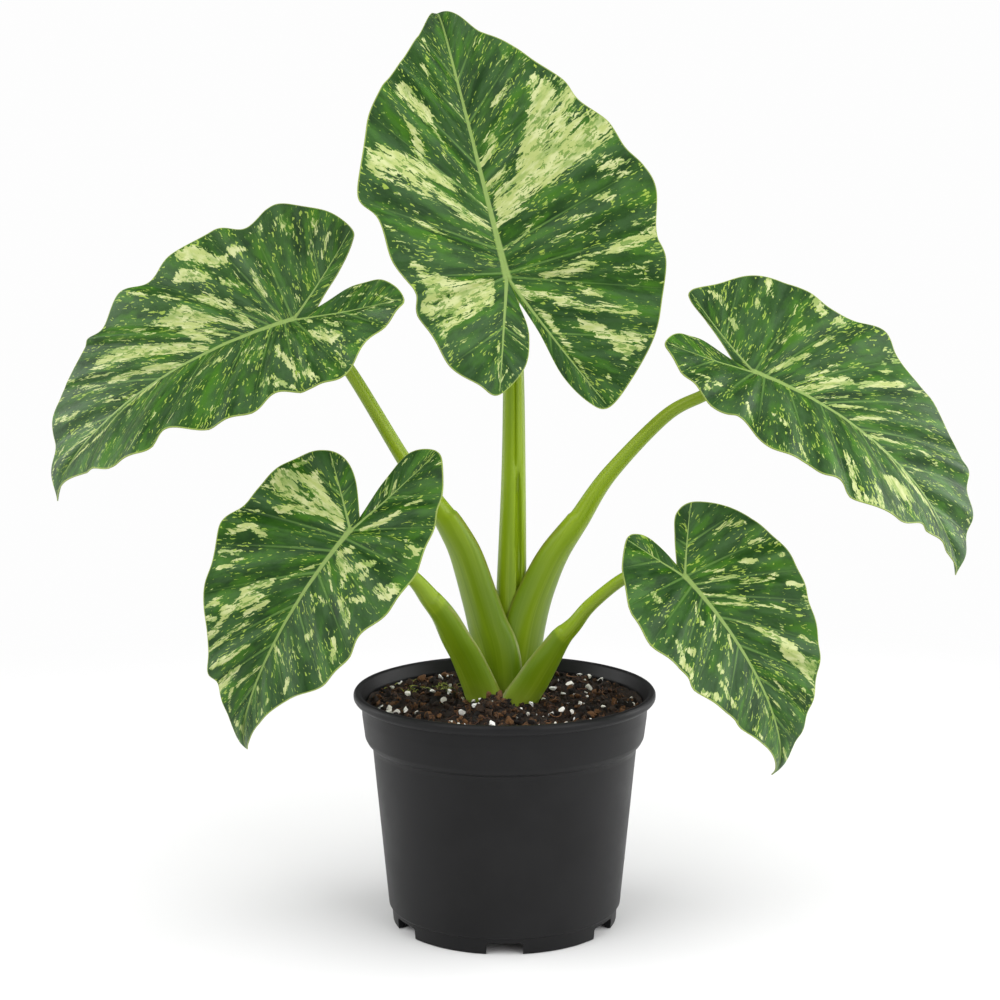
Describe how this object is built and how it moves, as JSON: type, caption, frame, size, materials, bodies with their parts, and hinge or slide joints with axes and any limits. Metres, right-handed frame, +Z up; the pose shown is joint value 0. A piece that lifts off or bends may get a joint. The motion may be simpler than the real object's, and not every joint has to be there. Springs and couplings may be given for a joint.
{
  "type": "potted alocasia plant",
  "caption": "Potted foliage plant: arrow-shaped green leaves splashed with cream, on long sheathing stalks, in a round plastic nursery pot filled with soil.",
  "frame": {"origin": "centre of the flat pad under the pot, on the surface that it stands on", "axes": "+Z up, +X to the right of the pictured side, which faces -Y"},
  "size_m": [0.5334, 0.1814, 0.5101],
  "materials": {
    "pot_plastic": "satin moulded, charcoal black",
    "potting_soil": "crumbly, with white perlite grains and reddish fibres",
    "corm": "ringed, papery",
    "leaf_stalk": "smooth, satin, faintly streaked along its length",
    "leaf_blade": "waxy, dark green with pale green and cream splashes along the veins"
  },
  "bodies": {
    "root": {"pot": "pot_plastic", "soil": "potting_soil", "corm": "corm", "petiole_top": "leaf_stalk", "petiole_upper_left": "leaf_stalk", "petiole_upper_right": "leaf_stalk", "petiole_lower_left": "leaf_stalk", "petiole_lower_right": "leaf_stalk", "blade_top": "leaf_blade", "blade_upper_left": "leaf_blade", "blade_upper_right": "leaf_blade", "blade_lower_left": "leaf_blade", "blade_lower_right": "leaf_blade"}
  },
  "joints": []
}
